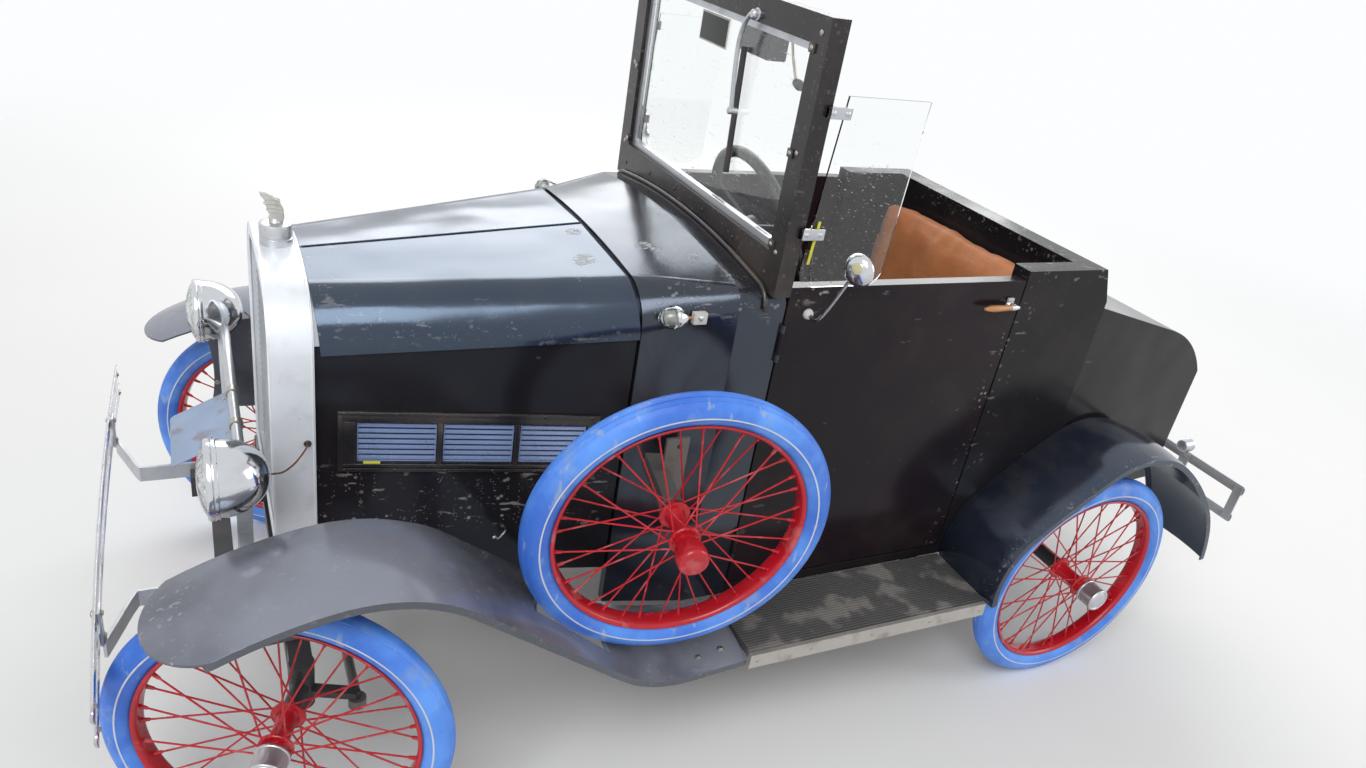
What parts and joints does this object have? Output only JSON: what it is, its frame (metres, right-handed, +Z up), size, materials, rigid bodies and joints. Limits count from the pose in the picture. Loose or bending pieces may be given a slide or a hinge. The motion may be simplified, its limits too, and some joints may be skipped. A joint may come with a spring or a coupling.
{
  "type": "miniature vintage parade car",
  "caption": "Home-built miniature 1920s-style open parade car in black with red wire wheels, blue tyres, a side spare and an upright windscreen.",
  "frame": {"origin": "on the ground, below the middle of the car's overall length and width", "axes": "+X forward along the car, +Y to the car's left, +Z up"},
  "size_m": [2.4509, 1.1117, 1.3199],
  "materials": {
    "black_paint": "gloss, dusty, chipped at the edges",
    "red_paint": "gloss red on rims, spokes and hubs",
    "blue_tyre": "coloured rubber, satin",
    "silver_paint": "silver paint, satin",
    "chrome": "bright, a little pitted",
    "alloy": "bare sheet, brushed",
    "vent_blue": "pale blue-grey, satin",
    "mat_rubber": "ribbed matting, satin",
    "tan_hide": "tan, worn",
    "clear_glass": "clear",
    "clear_plastic": "clear, slightly hazed",
    "white_paint": "white gloss",
    "tan_plastic": "tan with a metal base",
    "dark_metal": "chassis black, satin",
    "board_wood": "plain boards, painted dark",
    "core_grid": "dark mesh",
    "plate_paint": "blank, bluish grey",
    "engine_iron": "dull",
    "yellow_glass": "pale yellow disc in a dark rim"
  },
  "bodies": {
    "body": {"tyre_spare": "blue_tyre", "wheel_spare": "red_paint", "front_axle": "dark_metal", "rear_axle": "dark_metal", "chassis": "dark_metal", "engine": "engine_iron", "radiator_shell": "alloy", "radiator_core": "core_grid", "radiator_cap": "white_paint", "hood_sides": "black_paint", "hood_vents": "vent_blue", "cowl": "black_paint", "floor_boards": "board_wood", "dashboard": "black_paint", "steering_column": "dark_metal", "rear_body": "black_paint", "tail": "black_paint", "seat": "tan_hide", "windscreen_frame": "black_paint", "windscreen_rim": "alloy", "windscreen_glass": "clear_glass", "wiper": "dark_metal", "wind_wings": "clear_plastic", "running_boards": "mat_rubber", "board_edges": "alloy", "front_fenders": "black_paint", "rear_fenders": "black_paint", "spare_bracket": "dark_metal", "headlamps": "chrome", "headlamp_lenses": "clear_glass", "lamp_bar": "silver_paint", "number_plate": "plate_paint", "front_bumper": "chrome", "rear_bumper": "chrome", "tail_lamps": "chrome", "side_lamps": "clear_plastic"},
    "door_left": {"door_left": "black_paint", "door_handle_left": "tan_plastic", "door_mirror_left": "yellow_glass"},
    "door_right": {"door_right": "black_paint", "door_handle_right": "tan_plastic", "door_mirror_right": "yellow_glass"},
    "hood_left": {"hood_left": "black_paint"},
    "hood_right": {"hood_right": "black_paint"},
    "knuckle_left": {"knuckle_left": "dark_metal"},
    "knuckle_right": {"knuckle_right": "dark_metal"},
    "tie_rod": {"tie_rod": "dark_metal"},
    "steering_wheel": {"steering_wheel": "dark_metal"},
    "wheel_front_left": {"wheel_front_left": "red_paint", "tyre_front_left": "blue_tyre", "hub_cap_front_left": "silver_paint"},
    "wheel_front_right": {"wheel_front_right": "red_paint", "tyre_front_right": "blue_tyre", "hub_cap_front_right": "silver_paint"},
    "wheel_rear_left": {"wheel_rear_left": "red_paint", "tyre_rear_left": "blue_tyre", "hub_cap_rear_left": "silver_paint"},
    "wheel_rear_right": {"wheel_rear_right": "red_paint", "tyre_rear_right": "blue_tyre", "hub_cap_rear_right": "silver_paint"}
  },
  "joints": [
    {"name": "door_left_hinge", "type": "hinge", "parent": "body", "child": "door_left", "pos_m": [0.182, 0.33, 0.5935], "axis": [0, 0, -1], "range_deg": [0, 70]},
    {"name": "door_right_hinge", "type": "hinge", "parent": "body", "child": "door_right", "pos_m": [0.182, -0.33, 0.5935], "axis": [0, 0, 1], "range_deg": [0, 70]},
    {"name": "hood_left_hinge", "type": "hinge", "parent": "body", "child": "hood_left", "pos_m": [0.661, 0, 0.8715], "axis": [0.996, 0, -0.0889], "range_deg": [0, 75]},
    {"name": "hood_right_hinge", "type": "hinge", "parent": "body", "child": "hood_right", "pos_m": [0.661, 0, 0.8715], "axis": [-0.996, 0, 0.0889], "range_deg": [0, 75]},
    {"name": "steering_left", "type": "hinge", "parent": "body", "child": "knuckle_left", "pos_m": [0.945, 0.34, 0.254], "axis": [0, 0, 1], "range_deg": [-4, 48]},
    {"name": "steering_right", "type": "hinge", "parent": "body", "child": "knuckle_right", "pos_m": [0.945, -0.34, 0.254], "axis": [0, 0, 1], "range_deg": [-4, 48]},
    {"name": "tie_rod_pivot", "type": "hinge", "parent": "knuckle_left", "child": "tie_rod", "pos_m": [0.86619, 0.37184, 0.254], "axis": [0, 0, 1], "range_deg": [-48, 4]},
    {"name": "steering_wheel_turn", "type": "hinge", "parent": "body", "child": "steering_wheel", "pos_m": [0.09, 0.042, 0.889], "axis": [-0.9511, 0, 0.309], "range_deg": [-16, 192]},
    {"name": "roll_front_left", "type": "hinge", "parent": "knuckle_left", "child": "wheel_front_left", "pos_m": [0.98246, 0.43272, 0.254], "axis": [0.3746, 0.9272, 0], "continuous": true},
    {"name": "roll_front_right", "type": "hinge", "parent": "knuckle_right", "child": "wheel_front_right", "pos_m": [0.90754, -0.43272, 0.254], "axis": [0.3746, 0.9272, 0], "continuous": true},
    {"name": "roll_rear_left", "type": "hinge", "parent": "body", "child": "wheel_rear_left", "pos_m": [-0.614, 0.466, 0.254], "axis": [0, 1, 0], "continuous": true},
    {"name": "roll_rear_right", "type": "hinge", "parent": "body", "child": "wheel_rear_right", "pos_m": [-0.614, -0.466, 0.254], "axis": [0, 1, 0], "continuous": true}
  ],
  "couplings": [
    {"joint": "steering_right", "follows": "steering_left", "ratio": 1},
    {"joint": "tie_rod_pivot", "follows": "steering_left", "ratio": -1},
    {"joint": "steering_wheel_turn", "follows": "steering_left", "ratio": 4}
  ]
}
